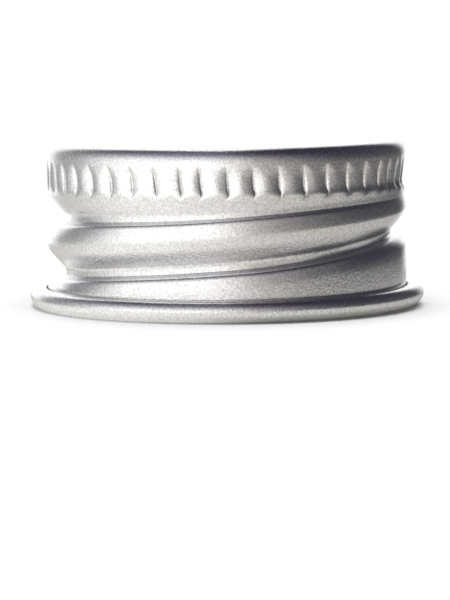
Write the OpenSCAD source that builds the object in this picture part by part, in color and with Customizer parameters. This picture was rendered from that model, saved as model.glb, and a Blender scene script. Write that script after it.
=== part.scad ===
// Aluminium screw cap for a threaded bottle neck, with its sealing liner.
// The shell is one drawn sheet: a flat panel, a knurled band, a rolled thread and a curled rim.
// It stands open side down, and z = 0 is the plane that the curled rim rests on.

/* [Body] */
// Outside diameter over the knurled band and the thread crests
body_d = 20.9; // [19:0.1:25]
// Height from the rim plane to the top panel
cap_h = 9.6; // [9.2:0.1:12]
// Thickness of the aluminium sheet
sheet_t = 0.2; // [0.16:0.01:0.24]
// Radius of the rounded edge round the top panel
edge_r = 0.82; // [0.5:0.02:1]

/* [Knurled band] */
// Number of equal sets that the knurls stand in
knurl_sets = 5; // [4:1:6]
// Number of knurls in a set
knurls_in_set = 9; // [7:1:11]
// Width of the last knurl of a set, as a share of the others' width
last_knurl = 0.78; // [0.5:0.02:1]
// Direction in which the first set starts, in degrees
set_start = -25.85; // [-40:0.05:0]
// Depth of the creases between the knurls
knurl_depth = 0.2; // [0.05:0.01:0.24]
// Distance from the top panel down to the knurls
knurl_drop = 1; // [1:0.05:1.3]
// Height of the knurls with their run-outs
knurl_h = 1.5; // [1.2:0.05:1.8]
// Height over which a knurl runs out at each end
knurl_run = 0.3; // [0.15:0.05:0.4]
// Lean of the knurls from upright, in degrees
knurl_lean = 7; // [0:1:15]
// Mean depth to which the band between the creases is pressed in, none on one side of the cap
band_press = 0.1; // [0:0.01:0.12]

/* [Thread] */
// Rise of the thread in one turn
thread_pitch = 3.175; // [2.9:0.025:3.4]
// Mean depth of the thread groove below the crests
thread_depth = 1.3; // [1.2:0.05:1.4]
// How much deeper the groove is on one side of the cap, as a share of its mean depth
uneven = 0.1; // [0:0.01:0.12]
// Distance from the top panel down to the groove's upper end
thread_drop = 3.5; // [3.3:0.05:3.9]
// Height of the nearly flat ledge below the root of the groove
ledge_h = 0.22; // [0.18:0.02:0.3]
// Height of the narrow land above the root of the groove
land_h = 0.5; // [0.4:0.02:0.56]
// Depth of the land's upper lip below the crests
lip_depth = 1.04; // [0.9:0.01:1.08]
// Height between two grooves, measured to where their flanks would meet the crest
crest_h = 1.35; // [1.3:0.01:1.4]
// Radius at the root of the groove
root_r = 0.08; // [0.05:0.01:0.15]
// Radius of the land's upper lip
lip_r = 0.25; // [0.25:0.01:0.35]
// Radius where the ledge turns onto the crest
ledge_r = 0.85; // [0.6:0.05:0.85]
// Radius where the taper above the land turns onto the crest
taper_r = 1.1; // [0.8:0.05:1.1]
// Angle over which the groove fades out at its upper end, in degrees
fade_angle = 125; // [90:5:150]
// Angle over which the groove levels off at its upper end, in degrees
level_angle = 130; // [90:5:150]
// Width left to the groove where it has faded out, as a share of its full width
fade_width = 0.55; // [0.4:0.05:0.7]
// Lean of the rolled thread from square with the rim, in degrees
thread_lean = 0.8; // [0:0.1:1.2]
// Direction of that lean round the cap, in degrees
lean_direction = -18; // [-180:1:180]

/* [Foot and curled rim] */
// Height of the foot above the rim plane
foot_h = 1.5; // [1.4:0.05:1.7]
// Height over which the groove fades out below the top of the foot
foot_fade = 0.36; // [0.3:0.02:0.4]
// Height above the rim plane at which the groove has run out
runout_h = 1.25; // [1.1:0.05:1.4]
// Rise of the groove from its run-out to its full depth
runout_rise = 0.45; // [0.3:0.05:0.6]
// Distance that the curled rim stands out beyond the body
rim_out = 1; // [0.85:0.01:1.1]
// Angle up to which the edge of the sheet is curled round, in degrees
curl_angle = 484; // [455:1:485]

/* [Liner] */
// Thickness of the sealing liner
liner_t = 1; // [0.6:0.1:1.4]
// Gap between the liner and the flat of the panel's inner edge
liner_gap = 0.1; // [0:0.05:0.3]

/* [Fineness] */
// Columns round the cap
columns = 64; // [48:1:72]

/* [Hidden] */

body_r = body_d / 2;
panel_z = cap_h - sheet_t;
edge_z = cap_h - edge_r;
knurl_top = cap_h - knurl_drop;
knurl_bottom = knurl_top - knurl_h;
thread_top = cap_h - thread_drop;
// The sheet runs straight down into the curl, so that the curl's inner side is the wall itself
curl_r = (rim_out + sheet_t) / 2;
curl_x = body_r + rim_out - curl_r;
lean_rise = body_r * tan(thread_lean);
// The groove makes two turns, counted from below the foot, and has faded out a little further on
level_end = 2 * 360;
level_start = level_end - level_angle;
fade_end = level_end + 15;
// Height of the topmost points of the threaded part, just under the knurls
thread_roof = knurl_bottom - knurl_run / 2;
// The least height between two rows of points
row_gap = 0.05;
// The knurls: each set's last one is narrower. The first knurl of a ring stands next to 0 degrees
knurl_n = knurl_sets * knurls_in_set;
set_angle = 360 / knurl_sets;
knurl_angle = set_angle / (knurls_in_set - 1 + last_knurl);
first_knurl = floor(-set_start / knurl_angle);
// Where the points of a ring lie across a knurl, outside and inside
outer_shares = [0, 0.12, 0.4, 0.8];
inner_shares = [0, 0.4];

// ---- Small helpers ----

function smooth(x) = let (c = min(1, max(0, x))) c * c * (3 - 2 * c);
function unit(v) = v / norm(v);
function polar(r, angle, z) = [r * cos(angle), r * sin(angle), z];
function turned(n) = [for (i = [0:n - 1]) 360 * i / n];
function last(v) = v[len(v) - 1];

// Points that round the corner b of the line a, b, c with radius r, in n steps
function rounded(a, b, c, r, n) =
    let (
        to_a = unit(a - b),
        to_c = unit(c - b),
        half = acos(to_a * to_c) / 2,
        reach = r / tan(half),
        centre = b + unit(to_a + to_c) * r / sin(half),
        first = b + to_a * reach - centre,
        end = b + to_c * reach - centre,
        whole = 180 - 2 * half
    )
    [for (i = [0:n])
        let (s = i / n)
        centre + (first * sin((1 - s) * whole) + end * sin(s * whole)) / sin(whole)];

// A line moved sideways by t, towards greater depth
function moved(line, t) =
    let (
        sides = [for (i = [0:len(line) - 2]) let (d = unit(line[i + 1] - line[i])) [-d[1], d[0]]],
        n = len(line)
    )
    [for (i = [0:n - 1])
        let (
            p = sides[max(0, i - 1)],
            q = sides[min(n - 2, i)]
        )
        line[i] + t * (p + q) / (1 + p * q)];

// ---- Section of the groove: points are [height above the root, depth below the crest] ----

groove_line = [
    [-ledge_h - crest_h, 0],
    [-ledge_h, 0],
    [0, thread_depth],
    [land_h, lip_depth],
    [thread_pitch - ledge_h - crest_h, 0],
    [thread_pitch - ledge_h, 0]
];

// The corners' radii and steps, from the ledge up. The inner face has the radii less or more the sheet
function groove_rows(line, radii, steps) =
    [for (i = [0:len(radii) - 1]) each rounded(line[i], line[i + 1], line[i + 2], radii[i], steps[i])];

outer_rows = groove_rows(groove_line, [ledge_r, root_r, lip_r, taper_r], [3, 2, 1, 3]);
inner_rows = [for (p = groove_rows(
        moved(groove_line, sheet_t),
        [ledge_r - sheet_t, root_r + sheet_t, lip_r - sheet_t + root_r, taper_r - sheet_t],
        [2, 2, 1, 2]))
    [p[0], p[1] - sheet_t]];

// ---- Course of the groove: turn is the angle from its first column, over more than one turn ----

function root_z(turn) =
    let (
        past = min(level_angle, max(0, turn - level_start)),
        levelling = past - past * past / (2 * level_angle) - level_angle / 2,
        before = min(0, turn - level_start)
    )
    thread_top + thread_pitch / 360 * (before + levelling) + lean_rise * cos(turn - lean_direction);

// Share of the full depth: it fades in above the foot and out at the upper end
function faded(turn) = min(1, max(0, (fade_end - turn) / fade_angle));
function groove_share(turn) =
    smooth((root_z(turn) - runout_h) / runout_rise) * faded(turn) * (1 - uneven * cos(turn));
function groove_width(turn) = fade_width + (1 - fade_width) * faded(turn);

// The lowest height that belongs to the groove at this turn
function groove_floor(turn) = root_z(turn) - (ledge_h + crest_h / 2) * groove_width(turn);
function turns_at(angle) = [for (k = [0:2]) if (groove_share(angle + 360 * k) > 0) angle + 360 * k];
function turn_of(angle, z) = last([-1, for (t = turns_at(angle)) if (z >= groove_floor(t)) t]);

// Depth of the groove at any angle and height, which the foot takes up
function groove_depth(rows, angle, z) =
    let (turn = turn_of(angle, z))
    turn < 0 ? 0 : groove_share(turn) * lookup((z - root_z(turn)) / groove_width(turn), rows)
        * (1 - smooth((foot_h - z) / foot_fade));

// ---- Columns of the threaded part: each point is [key, radius, height], from the foot up ----

// Key of a column's topmost point, above the key of any row
top_key = 1000;

function thread_column(rows, r, angle) =
    let (
        turns = turns_at(angle),
        low = foot_h,
        high = thread_roof
    )
    [
        [-1, r - groove_depth(rows, angle, low), low],
        for (t = [0:1:len(turns) - 1])
            let (
                turn = turns[t],
                width = groove_width(turn),
                floor_z = max(low, groove_floor(turn)) + row_gap,
                roof_z = min(high, t + 1 < len(turns) ? groove_floor(turns[t + 1]) : high) - row_gap
            )
            for (j = [0:len(rows) - 1])
                let (z = root_z(turn) + rows[j][0] * width)
                if (z > floor_z && z < roof_z)
                    [floor(turn / 360) * len(rows) + j, r - groove_share(turn) * rows[j][1], z],
        [top_key, r - groove_depth(rows, angle, high), high]
    ];

// ---- Knurls: a sharp crease, a steep flank, a rounded crest and a back that ends steeply ----

function knurl_shape(share) = knurl_depth * lookup(share, [[0, 1], [0.12, 0.36], [0.4, 0], [0.8, 0.25], [1, 1]]);
function crease_at(k) = set_start + set_angle * floor(k / knurls_in_set) + knurl_angle * (k % knurls_in_set);
function knurl_share(z) =
    smooth((knurl_top - z) / knurl_run) * smooth((z - knurl_bottom) / knurl_run);
function knurl_turn(z) = (z - (knurl_top + knurl_bottom) / 2) * tan(knurl_lean) / body_r * 180 / PI;

// A ring of the band. The knurls' upper ends lean back against the thread's rise
function knurl_ring(rows, r, shares, z) =
    [for (k = [first_knurl:first_knurl + knurl_n - 1]) for (share = shares)
        let (a = crease_at(k) + share * (crease_at(k + 1) - crease_at(k)))
        polar(
            r - groove_depth(rows, max(0, a), z)
                - knurl_share(z) * (knurl_shape(share) + band_press * (1 + cos(a))),
            a - knurl_turn(z),
            z)];

function plain_ring(r, z) = [for (a = turned(columns)) polar(r, a, z)];
function curl_ring(r, angle) = plain_ring(curl_x + r * cos(angle), curl_r + r * sin(angle));

// The foot, from the threaded part down, s from 0 to 1
function foot_ring(rows, r, s) =
    let (z = foot_h - s * foot_fade)
    [for (a = turned(columns)) polar(r - groove_depth(rows, a, z), a, z)];

// ---- The shell's points, in the order that a finger would run from the panel out, down, round
// ---- the curl and up the inside

outer_r = body_r;
inner_r = body_r - sheet_t;
edge_x = body_r - edge_r;

above = [
    [[0, 0, cap_h]],
    for (a = [90, 66, 44, 22, 0]) plain_ring(edge_x + edge_r * cos(a), edge_z + edge_r * sin(a)),
    plain_ring(outer_r, knurl_top),
    for (s = [0.4, 1]) knurl_ring(outer_rows, outer_r, outer_shares, knurl_top - s * knurl_run),
    for (s = [1, 0.4, 0]) knurl_ring(outer_rows, outer_r, outer_shares, knurl_bottom + s * knurl_run)
];
outer_columns = [for (a = turned(columns)) thread_column(outer_rows, outer_r, a)];
between = [
    for (s = [1 / 3, 2 / 3, 1]) foot_ring(outer_rows, outer_r, s),
    for (a = [180, 230, 280, 330, 380, 430, curl_angle]) curl_ring(curl_r - sheet_t, a),
    for (a = [curl_angle, 450, 420, 390, 360, 330, 300, 270, 240, 210, 180]) curl_ring(curl_r, a),
    for (s = [1, 2 / 3, 1 / 3]) foot_ring(inner_rows, inner_r, s)
];
inner_columns = [for (a = turned(columns)) thread_column(inner_rows, inner_r, a)];
inside = [
    for (z = [knurl_bottom + knurl_run, knurl_top - knurl_run])
        knurl_ring(inner_rows, inner_r, inner_shares, z),
    plain_ring(inner_r, knurl_top),
    for (a = [0, 30, 60, 90])
        plain_ring(edge_x + (edge_r - sheet_t) * cos(a), edge_z + (edge_r - sheet_t) * sin(a)),
    [[0, 0, panel_z]]
];

function column_points(cols) =
    [for (i = [0:columns - 1]) [for (p = cols[i]) polar(p[1], 360 * i / columns, p[2])]];
outer_points = column_points(outer_columns);
inner_points = column_points(inner_columns);

// ---- Numbers of the points, group by group ----

groups = concat(above, outer_points, between, inner_points, inside);
starts = [for (i = 0, s = 0; i < len(groups); s = s + len(groups[i]), i = i + 1) s];
numbers = [for (i = [0:len(groups) - 1]) [for (j = [0:len(groups[i]) - 1]) starts[i] + j]];
function part_of(list, from, count) = [for (i = [from:from + count - 1]) list[i]];

n_above = len(above);
n_between = len(between);
above_numbers = part_of(numbers, 0, n_above);
outer_numbers = part_of(numbers, n_above, columns);
between_numbers = part_of(numbers, n_above + columns, n_between);
inner_numbers = part_of(numbers, n_above + columns + n_between, columns);
inside_numbers = part_of(numbers, n_above + 2 * columns + n_between, len(inside));

// ---- Faces: each band between two rings or two columns is filled with triangles ----

// True where the next triangle steps along the first ring
function first_steps(i, j, n, m) = j == m || (i < n && (i + 1) * m <= (j + 1) * n);

// Triangles between two closed rings, the second below the first
function band(a, b) =
    let (n = len(a) == 1 ? 0 : len(a), m = len(b) == 1 ? 0 : len(b))
    [for (
        i = 0, j = 0;
        i < n || j < m;
        step = first_steps(i, j, n, m), i = i + (step ? 1 : 0), j = j + (step ? 0 : 1)
    )
        first_steps(i, j, n, m)
            ? [a[i], a[(i + 1) % n], b[m == 0 ? 0 : j % m]]
            : [a[n == 0 ? 0 : i % n], b[(j + 1) % m], b[j]]];

// True where the next triangle steps up the left column
function left_steps(a, b, i, j, shift) =
    j == len(b) - 1 || (i < len(a) - 1 && a[i + 1][0] <= b[j + 1][0] - (b[j + 1][0] < top_key ? shift : 0));

// Triangles between two neighbouring columns, a on the left and b on the right
function stitch(a, b, a_numbers, b_numbers, shift) =
    [for (
        i = 0, j = 0;
        i < len(a) - 1 || j < len(b) - 1;
        step = left_steps(a, b, i, j, shift), i = i + (step ? 1 : 0), j = j + (step ? 0 : 1)
    )
        left_steps(a, b, i, j, shift)
            ? [a_numbers[i], a_numbers[i + 1], b_numbers[j]]
            : [a_numbers[i], b_numbers[j + 1], b_numbers[j]]];

// The last column meets the first one turn higher up the thread
function threaded_wall(cols, numbers, turn_rows) =
    [for (c = [0:columns - 1])
        let (next = (c + 1) % columns)
        each stitch(cols[c], cols[next], numbers[c], numbers[next], next == 0 ? turn_rows : 0)];

function flipped(faces) = [for (f = faces) [f[0], f[2], f[1]]];
function bands(rings) = [for (i = [0:len(rings) - 2]) each band(rings[i], rings[i + 1])];
function lowest(cols) = [for (c = cols) c[0]];
function highest(cols) = [for (c = cols) last(c)];

shell_faces = concat(
    bands(concat(above_numbers, [highest(outer_numbers)])),
    threaded_wall(outer_columns, outer_numbers, len(outer_rows)),
    bands(concat([lowest(outer_numbers)], between_numbers, [lowest(inner_numbers)])),
    flipped(threaded_wall(inner_columns, inner_numbers, len(inner_rows))),
    bands(concat([highest(inner_numbers)], inside_numbers))
);

// ---- The pieces ----

// The drawn, knurled, threaded and curled aluminium shell
module cap_shell() {
    color([0.78, 0.78, 0.77])
        polyhedron(points = [for (g = groups) each g], faces = shell_faces);
}

// The foam disc that seals against the bottle's lip, held up against the panel
module sealing_liner() {
    color([0.93, 0.93, 0.9])
        translate([0, 0, panel_z - liner_t])
            cylinder(r = edge_x - liner_gap, h = liner_t, $fn = 96);
}

cap_shell();
sealing_liner();
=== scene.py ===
import bmesh
import bpy
import math
from mathutils import Matrix, Vector


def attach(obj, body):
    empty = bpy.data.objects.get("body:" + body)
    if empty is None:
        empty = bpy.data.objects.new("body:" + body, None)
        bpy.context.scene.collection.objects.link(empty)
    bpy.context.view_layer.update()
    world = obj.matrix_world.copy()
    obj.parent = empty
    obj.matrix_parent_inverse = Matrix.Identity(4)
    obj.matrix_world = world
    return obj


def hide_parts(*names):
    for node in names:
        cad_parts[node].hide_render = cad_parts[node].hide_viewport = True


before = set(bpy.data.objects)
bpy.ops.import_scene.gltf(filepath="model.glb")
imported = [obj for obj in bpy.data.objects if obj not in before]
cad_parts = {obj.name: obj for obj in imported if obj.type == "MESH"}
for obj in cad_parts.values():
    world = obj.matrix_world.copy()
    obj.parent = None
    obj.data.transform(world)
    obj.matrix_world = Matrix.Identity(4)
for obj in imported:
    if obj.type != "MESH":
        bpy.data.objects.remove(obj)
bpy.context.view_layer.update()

# ---- Cap shell ----------------------------------------------------------------------------------
# One cup drawn from 0.2 mm aluminium sheet and left bare. The knurls and the screw thread are
# rolled into its side, and the edge of the sheet is curled round into a bead that stiffens the
# rim. The sheet's outer face is built here and the wall is given to it last.

# Sizes are in millimetres until the finished mesh is scaled. Angles are in degrees from +X, which
# is the cap's right side, and -Y is its front
MM = 0.001
SHEET = 0.2
CAP_HEIGHT = 9.6
BODY_R = 10.45
EDGE_R = 0.82
RIM_R = BODY_R + 1.0
SHELL_DARK = (0.66, 0.655, 0.645, 1)
SHELL_BRIGHT = (0.95, 0.945, 0.935, 1)

# The groove that the thread roller leaves: height above its root, depth, corner radius and steps.
# The ledge is below the root, and the upright land and the taper are above it
PITCH = 3.175
ROOT_DEPTH = 1.1
GROOVE_CORNERS = (
    (-1.12, 0.0, 0, 0),
    (-0.9, 0.0, 2.2, 4),
    (-0.2, 0.09, 0.3, 7),
    (-0.014, 0.98, 0, 0),
    (0.0, ROOT_DEPTH, 0.02, 2),
    (0.05, ROOT_DEPTH, 0, 0),
    (0.42, ROOT_DEPTH, 0.34, 5),
    (1.62, 0.0, 1.02, 9),
    (2.055, 0.0, 0, 0),
)
LONGEST_ROW = 0.22
LEDGE_START = -1.1
TAPER_END = 2.035
# The roller bit deepest at the cap's left side, and least at its front. Places across the cap are
# counted from 0 at its middle to 1 at its side
DEPTH_MEAN = 0.91
DEPTH_SWING = 0.09
DEPTH_FRONT = 0.26
FRONT_FROM_LEFT = 0.75
# At the right, and in part at the left, a round shoulder takes the ledge's place: height above the
# root and depth
ROUND_SHOULDER = (
    (-1.09, 0.0), (-0.9, 0.07), (-0.7, 0.19), (-0.5, 0.36), (-0.3, 0.6), (-0.18, 0.8), (-0.1, 0.96),
    (0.0, ROOT_DEPTH),
)
ROUND_AT_RIGHT = (0.55, 0.9)
ROUND_AT_LEFT = (0.5, 0.9)
LEFT_ROUNDING = 0.6
# Toward the groove's end, and in part at the right, a straight taper takes the land's place
STRAIGHT_TAPER_END = 1.9
STRAIGHT_AT_RIGHT = (0.15, 0.65)
RIGHT_STRAIGHTENING = 0.4

# The course of the groove, counted up the screw over two turns and a little more. Near its top it
# levels off and fades out, and the whole screw leans a little
THREAD_TOP = 6.1
LEVEL_START = 590
LEVEL_ANGLE = 130
FADE_END = 735
FADE_ANGLE = 170
FADE_WIDTH = 0.55
THREAD_LEAN = 0.146
LEAN_DIRECTION = -18
# It starts behind the cap, where its root is this high, and it never runs down into the foot
RUNOUT_START = 1.25
RUNOUT_END = 1.7
FOOT_HEIGHT = 1.5
FOOT_FADE = 0.36
# The lower turn climbs early up to where it passes the right, and then falls back more slowly
CLIMB = 0.55
CLIMB_START = 275
CLIMB_TURN = 350
CLIMB_END = 520
# The upper turn sags a little at the front
SAG = 0.2
SAG_TURN = 620
SAG_ANGLE = 75
# The least height between the rows of one turn and the next, and the top of the threaded part
ROW_GAP = 0.03
THREAD_ROOF = 6.58

# Knurls: five sets of nine, as the knurling roller is cut, the last knurl of a set being narrow
SETS = 5
SET_START = -25.85
SET_ANGLE = 360 / SETS
KNURL_ANGLE = 8.2
KNURLS_IN_SET = 9
# Columns of points to a knurl, in the band and in the thread below it
KNURL_COLUMNS = 15
BODY_COLUMNS = 5
KNURL_BOTTOM = 6.6
KNURL_FULL = 7.35
KNURL_DEEPEST = 7.6
KNURL_TOP = 8.58
# A crease leans about the knurl's middle, and its foot bends back
KNURL_MIDDLE = 7.85
KNURL_LEAN = 7
FOOT_BEND_START = 7.1
FOOT_BEND = 1.3
# Toward the tip the flanks draw in to the crease
LEAF_START = 7.95
LEAF_END = 8.65
LEAF_NARROWING = 0.65
# No two knurls were pressed quite alike
PRESS_MEAN = 0.93
PRESS_SWING = 0.07
PRESS_STEP = 2.4
# Depth of a knurl over its width: a sharp crease, a flank, a rounded ridge and a scoop into the next
KNURL_DEPTH = (
    (0.0, 0.27), (0.02, 0.22), (0.045, 0.172), (0.08, 0.133), (0.13, 0.102), (0.2, 0.074), (0.28, 0.042),
    (0.37, 0.013), (0.5, 0.0), (0.6, 0.012), (0.7, 0.04), (0.79, 0.072), (0.87, 0.11), (0.93, 0.15),
    (0.97, 0.2), (1.0, 0.27),
)


def eased(x, low, high):
    """Goes from 0 to 1, softly at both ends, while x goes from low to high."""
    share = min(1.0, max(0.0, (x - low) / (high - low)))
    return share * share * (3 - 2 * share)


def table_value(table, x):
    """The value at x of a table of (x, value) pairs, straight between them."""
    if x <= table[0][0]:
        return table[0][1]
    for (x0, v0), (x1, v1) in zip(table, table[1:]):
        if x <= x1:
            return v0 + (v1 - v0) * (x - x0) / (x1 - x0)
    return table[-1][1]


def rounded_line(corners, longest):
    """A section line with its corners rounded and its long stretches divided: (height, depth) pairs."""
    line = bmesh.new()
    verts = [line.verts.new((0, depth, height)) for height, depth, _, _ in corners]
    for a, b in zip(verts, verts[1:]):
        line.edges.new((a, b))
    places = [v.co.copy() for v in verts]
    for i, (_, _, radius, steps) in enumerate(corners):
        if radius:
            half = (places[i - 1] - places[i]).angle(places[i + 1] - places[i]) / 2
            bmesh.ops.bevel(
                line, geom=[verts[i]], offset=radius / math.tan(half), offset_type="OFFSET",
                segments=steps, profile=0.5, affect="VERTICES", material=-1)
    for edge in line.edges[:]:
        cuts = math.ceil(edge.calc_length() / longest) - 1
        if cuts > 0:
            bmesh.ops.subdivide_edges(line, edges=[edge], cuts=cuts)
    result = sorted((v.co.z, v.co.y) for v in line.verts)
    line.free()
    return result


groove_section = rounded_line(GROOVE_CORNERS, LONGEST_ROW)


def crease_angle(knurl):
    """Where a knurl starts. Knurls are counted from the first set, over any number of turns."""
    whole, within = divmod(knurl, KNURLS_IN_SET)
    return SET_START + SET_ANGLE * whole + KNURL_ANGLE * within


def column_angle(column):
    """The angle of a column of points, so that the columns keep to the uneven knurls."""
    knurl, step = divmod(column, BODY_COLUMNS)
    return crease_angle(knurl) + step / BODY_COLUMNS * (crease_angle(knurl + 1) - crease_angle(knurl))


def early_climb(turn):
    """How far the lower turn's root is ahead of the even screw. The groove is narrower there."""
    return CLIMB * eased(turn, CLIMB_START, CLIMB_TURN) * (1 - eased(turn, CLIMB_TURN, CLIMB_END))


def root_height(turn):
    """Height of the root: an even screw that levels off at its top, leans, climbs early and sags."""
    past = min(LEVEL_ANGLE, max(0.0, turn - LEVEL_START))
    before = min(0.0, turn - LEVEL_START)
    rise = before + past - past * past / (2 * LEVEL_ANGLE) - LEVEL_ANGLE / 2
    lean = THREAD_LEAN * math.cos(math.radians(turn - LEAN_DIRECTION))
    sag = SAG * (1 - eased(abs(turn - SAG_TURN), 0, SAG_ANGLE))
    return THREAD_TOP + PITCH / 360 * rise + lean + early_climb(turn) - sag


def faded(turn):
    """What the groove has kept of itself: all of it at 1, nothing at its end."""
    return min(1.0, max(0.0, (FADE_END - turn) / FADE_ANGLE))


def groove_share(turn):
    """The share of its depth that the groove has between its run-out and its end."""
    return eased(root_height(turn), RUNOUT_START, RUNOUT_END) * faded(turn)


def row_height(turn):
    """Height of the row of points at the root. Past the groove's end it climbs on over the turn below."""
    return root_height(turn) + PITCH / 360 * max(0.0, turn - LEVEL_START - LEVEL_ANGLE)


def groove_width(turn):
    """The share of its full height that the groove's section takes up."""
    return FADE_WIDTH + (1 - FADE_WIDTH) * faded(turn) - early_climb(turn) / TAPER_END


def ledge_width(turn):
    """The part below the root is narrowed further where it would run into the turn below."""
    room = row_height(turn) - row_height(turn - 360) - TAPER_END * groove_width(turn - 360) - ROW_GAP
    return min(groove_width(turn), -room / LEDGE_START)


def groove_height(turn, height):
    """Height above the rim plane of a row of the groove's section."""
    return row_height(turn) + height * (ledge_width(turn) if height < 0 else groove_width(turn))


def groove_depth(angle, z):
    """How far the groove is pressed in at a place on the side of the cap."""
    angle %= 360
    turns = [angle + 360 * k for k in range(3)]
    below = [t for t in turns if groove_share(t) > 0 and z >= groove_height(t, LEDGE_START)]
    if not below:
        return 0.0
    turn = below[-1]
    above_root = z - row_height(turn)
    row = above_root / (ledge_width(turn) if above_root < 0 else groove_width(turn))
    depth = table_value(groove_section, row)
    # Across runs from -1 at the left to 1 at the right, and toward from 0 at the sides to 1 in front
    across, toward = math.cos(math.radians(angle)), max(0.0, -math.sin(math.radians(angle)))
    if row < 0:
        share = eased(across, *ROUND_AT_RIGHT) + LEFT_ROUNDING * eased(-across, *ROUND_AT_LEFT)
        depth += share * (max(depth, table_value(ROUND_SHOULDER, row)) - depth)
    else:
        share = max(1 - faded(turn), RIGHT_STRAIGHTENING * eased(across, *STRAIGHT_AT_RIGHT))
        depth += share * (ROOT_DEPTH * max(0.0, 1 - row / STRAIGHT_TAPER_END) - depth)
    shallow = DEPTH_FRONT * (toward ** 2 if across > 0 else eased(toward, 0, FRONT_FROM_LEFT))
    depth *= (DEPTH_MEAN - DEPTH_SWING * across) * (1 - shallow)
    return groove_share(turn) * depth * eased(z, FOOT_HEIGHT - FOOT_FADE, FOOT_HEIGHT)


def knurl_drift(z):
    """How far round, in degrees, a crease stands at this height from its place at mid-height."""
    leaned = (KNURL_MIDDLE - z) * math.tan(math.radians(KNURL_LEAN))
    return math.degrees((leaned - FOOT_BEND * max(0.0, FOOT_BEND_START - z) ** 2) / BODY_R)


def knurl_at(angle):
    """The knurl at this angle, the angle at which it starts, and its width."""
    whole, turned = divmod(angle - SET_START, SET_ANGLE)
    knurl = min(int((turned + 1e-3) / KNURL_ANGLE), KNURLS_IN_SET - 1)
    width = KNURL_ANGLE if knurl < KNURLS_IN_SET - 1 else SET_ANGLE - KNURL_ANGLE * knurl
    return knurl + KNURLS_IN_SET * int(whole % SETS), angle - turned + KNURL_ANGLE * knurl, width


def knurl_depth(angle, z):
    """How far a knurl is pressed in. It ends above in a tip, like a leaf, and runs out below."""
    knurl, start, width = knurl_at(angle - knurl_drift(z))
    share = (angle - knurl_drift(z) - start) / width
    narrowed = 1 - LEAF_NARROWING * eased(z, LEAF_START, LEAF_END)
    share = min(0.5, share / narrowed) if share < 0.5 else max(0.5, 1 - (1 - share) / narrowed)
    depth = table_value(KNURL_DEPTH, share) * (PRESS_MEAN + PRESS_SWING * math.sin(PRESS_STEP * knurl))
    depth *= max(0.0, 1 - (max(0.0, z - KNURL_DEEPEST) / (KNURL_TOP - KNURL_DEEPEST)) ** 2)
    return depth * eased(z, KNURL_BOTTOM, KNURL_FULL)


SEAT_DEPTH = 0.2
SEAT_SLOPE = 1.5
SEAT_FULL = 7.1


def band_seat(angle, z):
    """How far the whole band is pressed in: most at the right, and not at all at the left."""
    around = ((1 + math.cos(math.radians(angle))) / 2) ** 2
    falling = min(1.0, max(0.0, (CAP_HEIGHT - EDGE_R - z) / SEAT_SLOPE))
    return SEAT_DEPTH * around * falling * eased(z, KNURL_BOTTOM, SEAT_FULL)


def polar(r, angle, z):
    """The point at this radius, angle and height."""
    return Vector((r * math.cos(math.radians(angle)), r * math.sin(math.radians(angle)), z))


def angle_of(v):
    return math.degrees(math.atan2(v.co.y, v.co.x))


# Points as close as these lengths are one point, or are on one level
MERGED = 0.0005
ON_CUT = 0.001
ON_LEVEL = 0.002
NEAR_LEVEL = 0.02

# The threaded part: the groove's rows, swept up the screw over a little more than three turns. The
# sweep starts two sets of knurls early, so that it reaches below the foot all round
COLUMNS = SETS * KNURLS_IN_SET * BODY_COLUMNS
FIRST_COLUMN = -2 * KNURLS_IN_SET * BODY_COLUMNS
SPARE_COLUMNS = 20
SWEPT = COLUMNS * 3 + SPARE_COLUMNS
rise_per_column = PITCH / COLUMNS
shell = bmesh.new()
section = [shell.verts.new((BODY_R, 0, height)) for height, _ in groove_section]
for a, b in zip(section, section[1:]):
    shell.edges.new((a, b))
bmesh.ops.spin(
    shell, geom=section + shell.edges[:], cent=(0, 0, 0), axis=(0, 0, 1), dvec=(0, 0, rise_per_column),
    angle=math.radians(360 / COLUMNS * SWEPT), steps=SWEPT, use_merge=False, use_duplicate=False)
bmesh.ops.remove_doubles(shell, verts=shell.verts[:], dist=MERGED)

# Each row then follows the groove's course, and the rows of the plain crest share what is between
low_row = groove_section[0][0]
for v in shell.verts:
    around = round(angle_of(v) / 360 * COLUMNS) % COLUMNS
    whole = math.floor((v.co.z + 1e-4 - low_row - rise_per_column * around) / PITCH)
    column = around + COLUMNS * whole
    height = v.co.z - rise_per_column * column
    turn = column_angle(FIRST_COLUMN + column)
    if height < LEDGE_START:
        turn, height = turn - 360, height + PITCH
    if height > TAPER_END:
        start = groove_height(turn, TAPER_END)
        end = groove_height(turn + 360, LEDGE_START)
        z = start + (end - start) * (height - TAPER_END) / (PITCH + LEDGE_START - TAPER_END)
    else:
        z = groove_height(turn, height)
    v.co = polar(BODY_R, turn, z)

# It is cut off level below the knurls and above the foot, and the points of the cuts are drawn
# together onto the columns
for level, side in ((THREAD_ROOF, 1), (FOOT_HEIGHT, -1)):
    for v in shell.verts:
        if abs(v.co.z - level) < NEAR_LEVEL:
            v.co.z = level
    bmesh.ops.bisect_plane(
        shell, geom=shell.verts[:] + shell.edges[:] + shell.faces[:], dist=ON_CUT,
        plane_co=(0, 0, level), plane_no=(0, 0, side), clear_outer=True)
angles = sorted(column_angle(c) % 360 for c in range(COLUMNS))
angles = [angles[-1] - 360] + angles + [angles[0] + 360]
for v in shell.verts:
    if min(abs(v.co.z - THREAD_ROOF), abs(v.co.z - FOOT_HEIGHT)) < ON_LEVEL:
        angle = angle_of(v) % 360
        nearest = min(angles, key=lambda a: abs(a - angle))
        v.co = polar(BODY_R, nearest, v.co.z)
bmesh.ops.remove_doubles(shell, verts=shell.verts[:], dist=ON_LEVEL)
bmesh.ops.dissolve_degenerate(shell, dist=ON_CUT, edges=shell.edges[:])


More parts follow.
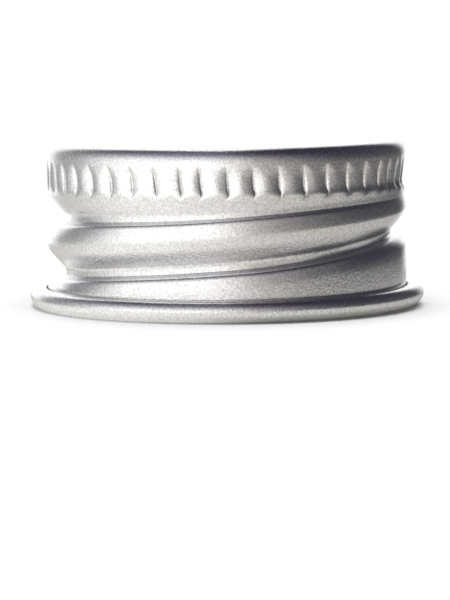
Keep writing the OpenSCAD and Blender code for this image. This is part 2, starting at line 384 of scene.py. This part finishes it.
def rim_edges(z):
    """The open edges at this height."""
    return [
        e for e in shell.edges
        if e.is_boundary and all(abs(v.co.z - z) < ON_LEVEL + ON_CUT for v in e.verts)]


def draw_ring(edges, radius, z, place=None):
    """Extrudes a ring of edges to a new radius and height, and returns the new ring."""
    made = bmesh.ops.extrude_edge_only(shell, edges=edges)["geom"]
    for v in (g for g in made if isinstance(g, bmesh.types.BMVert)):
        angle = angle_of(v)
        v.co = polar(radius, place(angle, z) if place else angle, z)
    return [g for g in made if isinstance(g, bmesh.types.BMEdge)]


# The knurled band has three columns where the thread has one, closest together at the creases
ring = rim_edges(THREAD_ROOF)
bmesh.ops.subdivide_edges(shell, edges=ring, cuts=KNURL_COLUMNS // BODY_COLUMNS - 1)
ring = rim_edges(THREAD_ROOF)


def knurl_place(angle, z):
    """The band's columns keep to the knurls."""
    _, start, width = knurl_at(angle)
    step = round((angle - start) / width * KNURL_COLUMNS)
    return start + KNURL_DEPTH[step][0] * width + knurl_drift(z)


# The rings are closest together where the creases bend and where the knurls end
BAND_HEIGHTS = (
    6.69, 6.78, 6.87, 6.97, 7.08, 7.2, 7.35, 7.52, 7.7, 7.86,
    8.0, 8.12, 8.22, 8.3, 8.37, 8.43, 8.48, 8.52, 8.57, 8.64,
)
ring = draw_ring(ring, BODY_R, KNURL_BOTTOM, knurl_place)
previous = KNURL_BOTTOM
for z in BAND_HEIGHTS:
    drift = knurl_drift(z) - knurl_drift(previous)
    ring = draw_ring(ring, BODY_R, z, lambda angle, height: angle + drift)
    previous = z

# The rounded edge and the flat panel
EDGE_STEPS = 8
EDGE_X = BODY_R - EDGE_R
EDGE_Z = CAP_HEIGHT - EDGE_R
PANEL_RINGS = (9.2, 6.0)
for step in range(EDGE_STEPS + 1):
    bend = math.pi / 2 * step / EDGE_STEPS
    ring = draw_ring(ring, EDGE_X + EDGE_R * math.cos(bend), EDGE_Z + EDGE_R * math.sin(bend))
for radius in PANEL_RINGS:
    ring = draw_ring(ring, radius, CAP_HEIGHT)
bmesh.ops.holes_fill(shell, edges=ring, sides=0)

# The foot and the curl, whose last part is tucked against the wall
FOOT_HEIGHTS = (1.44, 1.38, 1.32, 1.26, 1.2, 1.12, 0.95, 0.78)
CURL_RADIUS = 0.6
CURL_X = RIM_R - CURL_RADIUS
CURL_Z = CURL_RADIUS
CURL_INNER = CURL_RADIUS - SHEET
CURL_START = 180
CURL_END = 485
CURL_STEPS = 27
ring = rim_edges(FOOT_HEIGHT)
for z in FOOT_HEIGHTS:
    ring = draw_ring(ring, BODY_R, z)
for step in range(CURL_STEPS + 1):
    bend = math.radians(CURL_START + (CURL_END - CURL_START) * step / CURL_STEPS)
    ring = draw_ring(ring, CURL_X + CURL_INNER * math.cos(bend), CURL_Z + CURL_INNER * math.sin(bend))

# The rollers' work: the groove and the knurls are pressed into the upright side between the curl
# and the rounded edge
SIDE_BOTTOM = CURL_Z + 0.1
SIDE_TOP = EDGE_Z - 0.01
for v in shell.verts:
    x, y, z = v.co
    r = math.hypot(x, y)
    if SIDE_BOTTOM < z < SIDE_TOP and abs(r - BODY_R) < ON_LEVEL:
        angle = angle_of(v)
        pressed = groove_depth(angle, z)
        if z > THREAD_ROOF:
            pressed = max(pressed, band_seat(angle, z)) + knurl_depth(angle, z)
        v.co = polar(r - pressed, angle, z)

bmesh.ops.recalc_face_normals(shell, faces=shell.faces[:])
top_face = max(shell.faces, key=lambda f: f.calc_center_median().z)
if top_face.normal.z < 0:
    bmesh.ops.reverse_faces(shell, faces=shell.faces[:])
for face in shell.faces:
    face.smooth = True
bmesh.ops.scale(shell, vec=(MM, MM, MM), verts=shell.verts[:])
mesh = bpy.data.meshes.new("aluminium_shell")
shell.to_mesh(mesh)
shell.free()
cap = bpy.data.objects.new("aluminium_shell", mesh)
bpy.context.scene.collection.objects.link(cap)
wall = cap.modifiers.new("sheet", "SOLIDIFY")
wall.thickness = SHEET * MM
wall.offset = -1
wall.use_quality_normals = True

# Bare drawn aluminium: a fine dull grain that glitters a little, and slight unevenness
metal = bpy.data.materials.new("satin_aluminium")
metal.use_nodes = True
nodes, links = metal.node_tree.nodes, metal.node_tree.links
gloss = nodes["Principled BSDF"]
gloss.inputs["Metallic"].default_value = 1
where = nodes.new("ShaderNodeTexCoord").outputs["Object"]
grain = nodes.new("ShaderNodeTexNoise")
grain.inputs["Scale"].default_value = 8000
grain.inputs["Detail"].default_value = 2
grain.inputs["Roughness"].default_value = 0.5
links.new(where, grain.inputs["Vector"])
glitter = nodes.new("ShaderNodeMix")
glitter.data_type = "RGBA"
glitter.inputs["A"].default_value = SHELL_DARK
glitter.inputs["B"].default_value = SHELL_BRIGHT
sharpened = nodes.new("ShaderNodeMapRange")
sharpened.inputs["From Min"].default_value = 0.3
sharpened.inputs["From Max"].default_value = 0.7
links.new(grain.outputs["Fac"], sharpened.inputs["Value"])
links.new(sharpened.outputs["Result"], glitter.inputs["Factor"])
links.new(glitter.outputs["Result"], gloss.inputs["Base Color"])
bump = nodes.new("ShaderNodeBump")
bump.inputs["Distance"].default_value = 0.00001
links.new(grain.outputs["Fac"], bump.inputs["Height"])
links.new(bump.outputs["Normal"], gloss.inputs["Normal"])
cloud = nodes.new("ShaderNodeTexNoise")
cloud.inputs["Scale"].default_value = 900
links.new(where, cloud.inputs["Vector"])
spread = nodes.new("ShaderNodeMapRange")
spread.inputs["To Min"].default_value = 0.18
spread.inputs["To Max"].default_value = 0.26
links.new(cloud.outputs["Fac"], spread.inputs["Value"])
links.new(spread.outputs["Result"], gloss.inputs["Roughness"])
mesh.materials.append(metal)
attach(cap, "root")
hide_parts("cap_shell")

# ---- Sealing liner ------------------------------------------------------------------------------
# A disc punched from white expanded-plastic sheet, pressed up into the cap against its panel, where
# the rolled thread keeps it from dropping out. Its punched edge is a little rounded.

LINER_R = 9.53
LINER_TOP = 9.4
LINER_THICKNESS = 1.0
LINER_EDGE = 0.14
LINER_INSETS = (0.3, 2.0, 3.0)
liner = bmesh.new()
bmesh.ops.create_circle(liner, cap_ends=True, segments=128, radius=LINER_R)
bmesh.ops.translate(liner, verts=liner.verts[:], vec=(0, 0, LINER_TOP - LINER_THICKNESS))
made = bmesh.ops.extrude_face_region(liner, geom=liner.faces[:])["geom"]
bmesh.ops.translate(
    liner, verts=[g for g in made if isinstance(g, bmesh.types.BMVert)], vec=(0, 0, LINER_THICKNESS))
rims = [e for e in liner.edges if abs(e.verts[0].co.z - e.verts[1].co.z) < 1e-6]
bmesh.ops.bevel(liner, geom=rims, offset=LINER_EDGE, segments=4, profile=0.5, affect="EDGES", material=-1)
for face in [f for f in liner.faces if abs(f.normal.z) > 0.99]:
    for inset in LINER_INSETS:
        bmesh.ops.inset_region(liner, faces=[face], thickness=inset)
bmesh.ops.recalc_face_normals(liner, faces=liner.faces[:])
for face in liner.faces:
    face.smooth = True
bmesh.ops.scale(liner, vec=(MM, MM, MM), verts=liner.verts[:])
mesh = bpy.data.meshes.new("foam_liner")
liner.to_mesh(mesh)
liner.free()
disc = bpy.data.objects.new("foam_liner", mesh)
bpy.context.scene.collection.objects.link(disc)

foam = bpy.data.materials.new("white_foam")
foam.use_nodes = True
nodes, links = foam.node_tree.nodes, foam.node_tree.links
body = nodes["Principled BSDF"]
body.inputs["Base Color"].default_value = (0.86, 0.86, 0.83, 1)
body.inputs["Roughness"].default_value = 0.7
where = nodes.new("ShaderNodeTexCoord").outputs["Object"]
cells = nodes.new("ShaderNodeTexVoronoi")
cells.inputs["Scale"].default_value = 5000
links.new(where, cells.inputs["Vector"])
dimple = nodes.new("ShaderNodeBump")
dimple.inputs["Strength"].default_value = 0.5
dimple.inputs["Distance"].default_value = 0.00002
links.new(cells.outputs["Distance"], dimple.inputs["Height"])
links.new(dimple.outputs["Normal"], body.inputs["Normal"])
mesh.materials.append(foam)
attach(disc, "root")
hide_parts("sealing_liner")

# ---- Table, lights and camera -------------------------------------------------------------------
# The cap stands on a small white table. A broad soft light stands at its left front, a white
# backdrop behind it, and the room on its right and overhead is dark. All of it is in metres.

# The table slopes down to the right by less than half a degree, so the rim is clear of it there
TABLE_SIZE = 2.0
TABLE_SLOPE = 0.45
UNDER_LEFT_RIM = (-0.01, 0, 0)
table = bmesh.new()
bmesh.ops.create_grid(table, x_segments=2, y_segments=2, size=TABLE_SIZE)
slope = Matrix.Rotation(math.radians(TABLE_SLOPE), 3, "Y")
bmesh.ops.rotate(table, verts=table.verts[:], cent=UNDER_LEFT_RIM, matrix=slope)
mesh = bpy.data.meshes.new("table")
table.to_mesh(mesh)
table.free()
floor = bpy.data.objects.new("table", mesh)
bpy.context.scene.collection.objects.link(floor)

white = bpy.data.materials.new("white_table")
white.use_nodes = True
nodes, links = white.node_tree.nodes, white.node_tree.links
nodes.clear()


def feed(socket, value):
    if isinstance(value, bpy.types.NodeSocket):
        links.new(value, socket)
    else:
        socket.default_value = value


def reckoned(operation, a, b=0.0):
    """A Math node's result."""
    made = nodes.new("ShaderNodeMath")
    made.operation = operation
    feed(made.inputs[0], a)
    feed(made.inputs[1], b)
    return made.outputs[0]


def in_degrees(operation, a, b=0.0):
    return reckoned("MULTIPLY", reckoned(operation, a, b), 180 / math.pi)


def angle_round(x, y):
    """Direction round the cap in degrees: 0 at its front, -90 at its left and 90 at its right."""
    return in_degrees("ARCTAN2", x, reckoned("MULTIPLY", y, -1.0))


def ramp(value, low, high, start=0.0, end=1.0, kind="SMOOTHSTEP"):
    """From start, where the value is low, to end, where it is high."""
    made = nodes.new("ShaderNodeMapRange")
    made.interpolation_type = kind
    for socket, given in zip(made.inputs, (value, low, high, start, end)):
        feed(socket, given)
    return made.outputs["Result"]


def mixed(share, a, b):
    """Shader a where the share is 0 and shader b where it is 1."""
    made = nodes.new("ShaderNodeMixShader")
    for socket, given in zip(made.inputs, (share, a, b)):
        feed(socket, given)
    return made.outputs[0]


def colour_table(value, low, high, stops):
    """A colour looked up by value in a table of (value, (red, green, blue)) from low to high."""
    made = nodes.new("ShaderNodeValToRGB")
    elements = made.color_ramp.elements
    while len(elements) < len(stops):
        elements.new(1.0)
    for element, (at, colour) in zip(elements, stops):
        element.position = (at - low) / (high - low)
        element.color = (*colour, 1)
    links.new(ramp(value, low, high, kind="LINEAR"), made.inputs[0])
    return made.outputs[0]


def painted(kind, colour):
    made = nodes.new(kind)
    feed(made.inputs["Color"], colour)
    return made.outputs[0]


# Seen by itself the table is plain white, and the cap's soft shadow lies close round it. The metal
# mirrors it as a glowing disc that ends in the dark of the room. The disc's light is painted, brightest
# toward the soft light at the left front, and it holds a painted shadow under the cap's edge, most of
# all at the right. These are distances from the cap's middle
WHITE = (1, 1, 1, 1)
SHADOW = (0.0112, 0.0165)
PAINTED_SHADOW_REACH = (0.0108, 0.0122)
DISC_EDGE = (0.018, 0.04)
LEFT_TO_RIGHT = (-0.003, 0.003)
# Painted shadow under the cap's edge: the share of the disc's light kept there, at the left and at the
# right
PAINTED_EDGE_BRIGHTNESS = (0.75, 0.3)
# Painted light: the glowing disc's colour round the cap, in degrees, brightest at the left front where
# the soft light stands and dim at the right
PAINTED_TABLE_LIGHT = (
    (-180, (0.58, 0.57, 0.55)), (-140, (0.62, 0.61, 0.59)), (-105, (0.7, 0.69, 0.66)),
    (-80, (0.84, 0.83, 0.8)), (-55, (1.05, 1.04, 1.01)), (-30, (1.05, 1.04, 1.01)),
    (0, (0.85, 0.84, 0.81)), (20, (0.68, 0.67, 0.64)), (45, (0.59, 0.58, 0.55)),
    (75, (0.54, 0.53, 0.52)), (120, (0.5, 0.49, 0.48)), (180, (0.65, 0.64, 0.62)),
)
path = nodes.new("ShaderNodeLightPath")
place = nodes.new("ShaderNodeSeparateXYZ")
links.new(nodes.new("ShaderNodeTexCoord").outputs["Object"], place.inputs[0])
x, y, z = place.outputs
away = reckoned("SQRT", reckoned("ADD", reckoned("POWER", x, 2), reckoned("POWER", y, 2)))
seen = mixed(
    ramp(away, *SHADOW), painted("ShaderNodeBsdfDiffuse", (0.9, 0.9, 0.9, 1)),
    painted("ShaderNodeEmission", WHITE))
clear = painted("ShaderNodeBsdfTransparent", WHITE)
# The disc glows with this painted light only where the metal mirrors it
painted_light_disc = nodes.new("ShaderNodeEmission")
links.new(colour_table(angle_round(x, y), -180, 180, PAINTED_TABLE_LIGHT), painted_light_disc.inputs["Color"])
# Painted shadow: the glowing disc dims under the cap's edge, less at the left and more at the right
painted_edge_brightness = ramp(x, *LEFT_TO_RIGHT, *PAINTED_EDGE_BRIGHTNESS)
links.new(ramp(away, *PAINTED_SHADOW_REACH, start=painted_edge_brightness), painted_light_disc.inputs["Strength"])
mirrored = mixed(ramp(away, *DISC_EDGE), painted_light_disc.outputs[0], clear)
shown = mixed(path.outputs["Is Glossy Ray"], seen, mirrored)
from_below = nodes.new("ShaderNodeNewGeometry").outputs["Backfacing"]
out = nodes.new("ShaderNodeOutputMaterial")
links.new(mixed(from_below, shown, clear), out.inputs["Surface"])
mesh.materials.append(white)

# The soft light's colour round the cap, times its fading with height above the table's plane, and
# added to that, what the room gives at each height. Both are in degrees
LIGHT_ROUND = (
    (-180, (0.45, 0.45, 0.46)), (-140, (0.35, 0.35, 0.36)), (-112, (0.38, 0.38, 0.38)),
    (-88, (0.84, 0.84, 0.84)), (-66, (1.3, 1.3, 1.29)), (-14, (1.35, 1.34, 1.33)),
    (4, (0.95, 0.93, 0.91)), (12, (0.62, 0.6, 0.58)), (18, (0.45, 0.43, 0.41)),
    (35, (0.27, 0.255, 0.245)), (55, (0.1, 0.097, 0.097)), (80, (0.035, 0.035, 0.036)),
    (180, (0.03, 0.03, 0.032)),
)
LIGHT_HEIGHT = (
    (-90, (1, 1, 1)), (5, (1, 1, 1)), (20, (0.8, 0.79, 0.8)), (30, (0.62, 0.61, 0.63)),
    (40, (0.42, 0.41, 0.45)), (50, (0.25, 0.25, 0.28)), (60, (0.13, 0.13, 0.16)),
    (90, (0.06, 0.06, 0.08)),
)
ROOM_HEIGHT = (
    (-90, (0.16, 0.155, 0.15)), (-12, (0.15, 0.145, 0.14)), (0, (0.05, 0.048, 0.055)),
    (22, (0.03, 0.028, 0.046)), (90, (0.028, 0.026, 0.044)),
)
# The backdrop fills what lies further round than these angles, counted from a little right of the
# front, and it rises to straight overhead
BACKDROP_TURN = 8
BACKDROP_SIDE = (142, 158)
BACKDROP_TOP = (76, 90)
BACKDROP_COLOUR = (1.25, 1.25, 1.28, 1)
studio = bpy.data.worlds.new("studio")
studio.use_nodes = True
bpy.context.scene.world = studio
nodes, links = studio.node_tree.nodes, studio.node_tree.links
nodes.clear()
path = nodes.new("ShaderNodeLightPath")
toward = nodes.new("ShaderNodeSeparateXYZ")
links.new(nodes.new("ShaderNodeTexCoord").outputs["Generated"], toward.inputs[0])
x, y, z = toward.outputs
round_about = angle_round(x, y)
height = in_degrees("ARCSINE", z)
over_the_top = in_degrees("ARCTAN2", z, y)
product = nodes.new("ShaderNodeVectorMath")
product.operation = "MULTIPLY_ADD"
links.new(colour_table(round_about, -180, 180, LIGHT_ROUND), product.inputs[0])
links.new(colour_table(height, -90, 90, LIGHT_HEIGHT), product.inputs[1])
links.new(colour_table(height, -90, 90, ROOM_HEIGHT), product.inputs[2])
backdrop = reckoned(
    "MULTIPLY",
    ramp(reckoned("ABSOLUTE", reckoned("SUBTRACT", round_about, BACKDROP_TURN)), *BACKDROP_SIDE),
    ramp(over_the_top, *BACKDROP_TOP, start=1.0, end=0.0))
mirrored = mixed(
    backdrop, painted("ShaderNodeBackground", product.outputs[0]),
    painted("ShaderNodeBackground", BACKDROP_COLOUR))
out = nodes.new("ShaderNodeOutputWorld")
links.new(
    mixed(path.outputs["Is Camera Ray"], mirrored, painted("ShaderNodeBackground", WHITE)),
    out.inputs["Surface"])

# A lamp overhead casts the soft shadow, and the metal doesn't mirror it
lamp = bpy.data.lights.new("overhead_soft_light", "AREA")
lamp.shape = "SQUARE"
lamp.size = 0.30
lamp.energy = 0.75
above = bpy.data.objects.new("overhead_soft_light", lamp)
above.location = (0.02, -0.01, 0.25)
above.rotation_euler = (Vector((0, 0, 0)) - above.location).to_track_quat("-Z", "Y").to_euler()
above.visible_glossy = False
bpy.context.scene.collection.objects.link(above)

# The camera looks slightly down on the cap from in front, and is rolled a little
CAMERA_PLACE = Vector((-0.008, -183.2, 18.465)) * MM
CAMERA_PITCH = 5.701
CAMERA_YAW = -0.04
CAMERA_ROLL = 0.658
camera = bpy.data.cameras.new("camera")
camera.lens = 188.98
camera.sensor_width = 36
camera.clip_start = 0.01
camera.clip_end = 10
viewer = bpy.data.objects.new("camera", camera)
viewer.matrix_world = (
    Matrix.Translation(CAMERA_PLACE)
    @ Matrix.Rotation(math.radians(-CAMERA_YAW), 4, "Z")
    @ Matrix.Rotation(math.radians(90 - CAMERA_PITCH), 4, "X")
    @ Matrix.Rotation(math.radians(-CAMERA_ROLL), 4, "Z"))
bpy.context.scene.collection.objects.link(viewer)
bpy.context.scene.camera = viewer
bpy.context.scene.view_settings.view_transform = "Standard"
